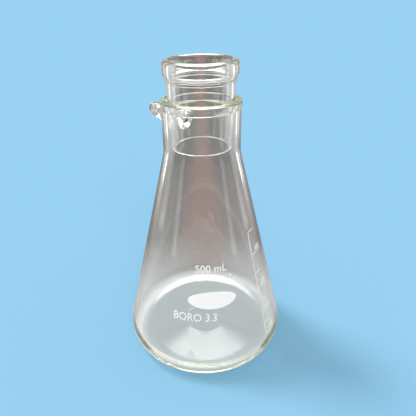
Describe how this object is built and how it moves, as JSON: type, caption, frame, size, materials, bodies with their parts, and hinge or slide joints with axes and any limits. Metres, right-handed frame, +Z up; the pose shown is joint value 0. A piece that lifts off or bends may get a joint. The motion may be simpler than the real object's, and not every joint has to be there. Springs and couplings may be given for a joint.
{
  "type": "erlenmeyer filter flask",
  "caption": "Conical side-arm flask of clear glass with white fired markings and a lift-out beaded glass insert in its mouth.",
  "frame": {"origin": "on the table under the flask's axis", "axes": "+Z up along the flask's axis, -Y towards the front with the capacity mark, +X to the viewer's right"},
  "size_m": [0.105, 0.105, 0.1872],
  "materials": {
    "body_glass": "clear fire-polished borosilicate",
    "insert_glass": "clear fire-polished borosilicate",
    "enamel": "white fired enamel"
  },
  "bodies": {
    "flask": {"flask_body": "body_glass", "side_arm": "body_glass", "capacity_mark": "enamel", "stopper_mark": "enamel", "glass_mark": "enamel", "writing_patch": "enamel", "scale_line": "enamel", "scale_ticks": "enamel", "scale_numbers": "enamel"},
    "insert": {"insert": "insert_glass"}
  },
  "joints": [
    {"name": "insert_lift", "type": "slide", "parent": "flask", "child": "insert", "axis": [0, 0, 1], "range_m": [0, 0.032]}
  ]
}
